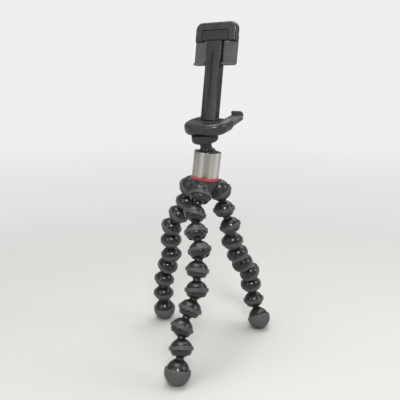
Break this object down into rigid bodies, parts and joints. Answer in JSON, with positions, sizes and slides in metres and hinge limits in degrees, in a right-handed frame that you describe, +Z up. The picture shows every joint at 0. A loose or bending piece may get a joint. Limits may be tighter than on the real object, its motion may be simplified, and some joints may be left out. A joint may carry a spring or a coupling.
{
  "type": "camera tripod",
  "caption": "Small bendable-leg camera tripod with ball-jointed legs, a locking ball head and a folding sprung phone grip.",
  "frame": {"origin": "on the floor, at the middle of the footprint's bounding box", "axes": "+Z up, +X to the viewer's right in the picture, +Y away from the viewer"},
  "size_m": [0.1012, 0.133, 0.251],
  "materials": {
    "link_black": "glossy moulded nylon",
    "grip_rubber": "matte soft rubber",
    "zinc_steel": "zinc plated",
    "inner_plastic": "plain moulded",
    "red_plastic": "satin",
    "silver_collar": "satin anodised",
    "ball_black": "polished",
    "body_black": "fine grain",
    "pad_rubber": "matte soft rubber",
    "brass_insert": "turned",
    "jaw_plastic": "satin fine grain"
  },
  "bodies": {
    "hub": {"hub_body": "link_black", "hub_grip_rings": "grip_rubber", "hub_core_screw": "zinc_steel", "threaded_sleeve": "inner_plastic", "red_ring": "red_plastic", "seat_spring": "zinc_steel"},
    "collar": {"lock_collar": "inner_plastic", "collar_tube": "silver_collar"},
    "cup": {"seat_cup": "inner_plastic"},
    "ball": {"tilt_ball": "ball_black", "pan_rivet": "zinc_steel"},
    "grip_base": {"platform": "body_black", "platform_pad": "pad_rubber", "camera_screw": "zinc_steel", "lower_jaw": "jaw_plastic", "lower_jaw_pads": "pad_rubber", "thread_insert": "brass_insert", "lower_hinge_pin": "zinc_steel"},
    "stem": {"stem_channel": "jaw_plastic", "stem_back_cover": "jaw_plastic", "cover_screws": "zinc_steel", "return_springs": "zinc_steel"},
    "slider": {"slider_bar": "jaw_plastic", "upper_hinge_pin": "zinc_steel"},
    "top_jaw": {"upper_jaw": "jaw_plastic", "upper_jaw_pads": "pad_rubber"},
    "front_link_1": {"front_leg_link_1": "link_black"},
    "front_link_2": {"front_leg_link_2": "link_black"},
    "front_link_3": {"front_leg_link_3": "link_black"},
    "front_link_4": {"front_leg_link_4": "link_black"},
    "front_link_5": {"front_leg_link_5": "link_black"},
    "front_link_6": {"front_leg_link_6": "link_black"},
    "front_link_7": {"front_leg_link_7": "link_black"},
    "front_link_8": {"front_leg_link_8": "link_black"},
    "front_foot": {"front_foot_core": "link_black", "front_foot_boot": "grip_rubber"},
    "left_link_1": {"left_leg_link_1": "link_black"},
    "left_link_2": {"left_leg_link_2": "link_black"},
    "left_link_3": {"left_leg_link_3": "link_black"},
    "left_link_4": {"left_leg_link_4": "link_black"},
    "left_link_5": {"left_leg_link_5": "link_black"},
    "left_link_6": {"left_leg_link_6": "link_black"},
    "left_link_7": {"left_leg_link_7": "link_black"},
    "left_link_8": {"left_leg_link_8": "link_black"},
    "left_foot": {"left_foot_core": "link_black", "left_foot_boot": "grip_rubber"},
    "right_link_1": {"right_leg_link_1": "link_black"},
    "right_link_2": {"right_leg_link_2": "link_black"},
    "right_link_3": {"right_leg_link_3": "link_black"},
    "right_link_4": {"right_leg_link_4": "link_black"},
    "right_link_5": {"right_leg_link_5": "link_black"},
    "right_link_6": {"right_leg_link_6": "link_black"},
    "right_link_7": {"right_leg_link_7": "link_black"},
    "right_link_8": {"right_leg_link_8": "link_black"},
    "right_foot": {"right_foot_core": "link_black", "right_foot_boot": "grip_rubber"}
  },
  "joints": [
    {"name": "front_leg_ball_1", "type": "hinge", "parent": "hub", "child": "front_link_1", "pos_m": [-0.00942, -0.00754, 0.1242], "axis": [-0.9432, 0.2594, 0.2077], "range_deg": [-14, 37]},
    {"name": "front_leg_ball_2", "type": "hinge", "parent": "front_link_1", "child": "front_link_2", "pos_m": [-0.01356, -0.01248, 0.11155], "axis": [-0.1497, -0.8492, 0.5063], "range_deg": [-49, 2]},
    {"name": "front_leg_ball_3", "type": "hinge", "parent": "front_link_2", "child": "front_link_3", "pos_m": [-0.01225, -0.01989, 0.0995], "axis": [0.9708, -0.0356, 0.2374], "range_deg": [-27, 25]},
    {"name": "front_leg_ball_4", "type": "hinge", "parent": "front_link_3", "child": "front_link_4", "pos_m": [-0.00961, -0.02716, 0.0876], "axis": [0.1648, 0.9345, -0.3156], "range_deg": [-45, 4]},
    {"name": "front_leg_ball_5", "type": "hinge", "parent": "front_link_4", "child": "front_link_5", "pos_m": [-0.01156, -0.03135, 0.07417], "axis": [0.9859, -0.1654, 0.0256], "range_deg": [-26, 25]},
    {"name": "front_leg_ball_6", "type": "hinge", "parent": "front_link_5", "child": "front_link_6", "pos_m": [-0.01194, -0.03572, 0.06066], "axis": [0.1581, 0.8967, -0.4134], "range_deg": [-43, 8]},
    {"name": "front_leg_ball_7", "type": "hinge", "parent": "front_link_6", "child": "front_link_7", "pos_m": [-0.01681, -0.04059, 0.04825], "axis": [0.9016, -0.3252, -0.2854], "range_deg": [-21, 32]},
    {"name": "front_leg_ball_8", "type": "hinge", "parent": "front_link_7", "child": "front_link_8", "pos_m": [-0.02257, -0.04634, 0.03661], "axis": [-0.1552, -0.8802, 0.4485], "range_deg": [-50, 3]},
    {"name": "front_leg_ball_9", "type": "hinge", "parent": "front_link_8", "child": "front_foot", "pos_m": [-0.02257, -0.05279, 0.02396], "axis": [0.9727, -0.2063, -0.1059], "range_deg": [-33, 16]},
    {"name": "left_leg_ball_1", "type": "hinge", "parent": "hub", "child": "left_link_1", "pos_m": [-0.01808, 0.01673, 0.12638], "axis": [0.6955, 0.688, 0.207], "range_deg": [-3, 44]},
    {"name": "left_leg_ball_2", "type": "hinge", "parent": "left_link_1", "child": "left_link_2", "pos_m": [-0.02026, 0.02275, 0.11371], "axis": [-0.6219, 0.5219, 0.5838], "range_deg": [-40, 8]},
    {"name": "left_leg_ball_3", "type": "hinge", "parent": "left_link_2", "child": "left_link_3", "pos_m": [-0.02708, 0.02751, 0.1022], "axis": [-0.6424, -0.7664, 0.0008], "range_deg": [-27, 25]},
    {"name": "left_leg_ball_4", "type": "hinge", "parent": "left_link_3", "child": "left_link_4", "pos_m": [-0.0333, 0.03271, 0.09054], "axis": [-0.7283, 0.6111, 0.3101], "range_deg": [-4, 38]},
    {"name": "left_leg_ball_5", "type": "hinge", "parent": "left_link_4", "child": "left_link_5", "pos_m": [-0.0338, 0.03865, 0.07765], "axis": [0.6553, 0.7299, 0.1944], "range_deg": [-18, 34]},
    {"name": "left_leg_ball_6", "type": "hinge", "parent": "left_link_5", "child": "left_link_6", "pos_m": [-0.03378, 0.04229, 0.06392], "axis": [0.7052, 0.691, 0.1585], "range_deg": [-48, 5]},
    {"name": "left_leg_ball_7", "type": "hinge", "parent": "left_link_6", "child": "left_link_7", "pos_m": [-0.03763, 0.04895, 0.05199], "axis": [0.6425, 0.7663, -0.001], "range_deg": [-11, 38]},
    {"name": "left_leg_ball_8", "type": "hinge", "parent": "left_link_7", "child": "left_link_8", "pos_m": [-0.04097, 0.05173, 0.03847], "axis": [0.7551, -0.6336, -0.1685], "range_deg": [-32, 18]},
    {"name": "left_leg_ball_9", "type": "hinge", "parent": "left_link_8", "child": "left_foot", "pos_m": [-0.04171, 0.05454, 0.02457], "axis": [0.6453, 0.7493, 0.1487], "range_deg": [-22, 31]},
    {"name": "right_leg_ball_1", "type": "hinge", "parent": "hub", "child": "right_link_1", "pos_m": [0.00722, 0.01225, 0.12349], "axis": [-0.336, 0.941, -0.0404], "range_deg": [-50, 2]},
    {"name": "right_leg_ball_2", "type": "hinge", "parent": "right_link_1", "child": "right_link_2", "pos_m": [0.00942, 0.01243, 0.10946], "axis": [0.8844, 0.3219, 0.338], "range_deg": [-20, 29]},
    {"name": "right_leg_ball_3", "type": "hinge", "parent": "right_link_2", "child": "right_link_3", "pos_m": [0.01449, 0.01242, 0.0962], "axis": [0.9133, 0.3324, 0.2352], "range_deg": [-46, 5]},
    {"name": "right_leg_ball_4", "type": "hinge", "parent": "right_link_3", "child": "right_link_4", "pos_m": [0.01643, 0.01659, 0.08277], "axis": [-0.4479, 0.8632, 0.2329], "range_deg": [-12, 41]},
    {"name": "right_leg_ball_5", "type": "hinge", "parent": "right_link_4", "child": "right_link_5", "pos_m": [0.02125, 0.02235, 0.07071], "axis": [-0.5376, 0.7652, 0.3542], "range_deg": [-19, 31]},
    {"name": "right_leg_ball_6", "type": "hinge", "parent": "right_link_5", "child": "right_link_6", "pos_m": [0.02599, 0.03057, 0.06015], "axis": [0.708, 0.2577, 0.6575], "range_deg": [-17, 34]},
    {"name": "right_leg_ball_7", "type": "hinge", "parent": "right_link_6", "child": "right_link_7", "pos_m": [0.03296, 0.03753, 0.04992], "axis": [-0.3995, 0.8581, 0.3226], "range_deg": [-52, 1]},
    {"name": "right_leg_ball_8", "type": "hinge", "parent": "right_link_7", "child": "right_link_8", "pos_m": [0.03444, 0.0431, 0.03694], "axis": [-0.9269, -0.3374, -0.1646], "range_deg": [-51, 1]},
    {"name": "right_leg_ball_9", "type": "hinge", "parent": "right_link_8", "child": "right_foot", "pos_m": [0.03709, 0.04262, 0.023], "axis": [-0.9311, -0.3389, -0.135], "range_deg": [-48, 5]},
    {"name": "collar_turn", "type": "hinge", "parent": "hub", "child": "collar", "pos_m": [-0.0046, 0.00607, 0.14519], "axis": [0.1044, -0.052, 0.9932], "range_deg": [0, 60]},
    {"name": "cup_slide", "type": "slide", "parent": "hub", "child": "cup", "axis": [-0.1044, 0.052, -0.9932], "range_m": [0, 0.00025]},
    {"name": "ball_tilt", "type": "hinge", "parent": "hub", "child": "ball", "pos_m": [-0.0039, 0.00572, 0.15184], "axis": [0.5193, -0.8489, -0.0991], "range_deg": [-45, 14]},
    {"name": "platform_pan", "type": "hinge", "parent": "ball", "child": "grip_base", "pos_m": [-0.00574, 0.00289, 0.16646], "axis": [-0.1225, -0.1887, 0.9744], "continuous": true},
    {"name": "stem_fold", "type": "hinge", "parent": "grip_base", "child": "stem", "pos_m": [-0.00228, 0.00822, 0.17716], "axis": [-0.8387, 0.5446, 0], "range_deg": [-22, 68]},
    {"name": "slider_pull", "type": "slide", "parent": "stem", "child": "slider", "axis": [0.0852, 0.1312, 0.9877], "range_m": [0, 0.035], "stiffness_N_per_m": 150, "springref_m": -0.02},
    {"name": "top_jaw_fold", "type": "hinge", "parent": "slider", "child": "top_jaw", "pos_m": [0.00322, 0.0167, 0.24097], "axis": [0.8387, -0.5446, 0], "range_deg": [0, 90]}
  ],
  "couplings": [
    {"joint": "cup_slide", "follows": "collar_turn", "m_per_rad": 0.000238}
  ]
}
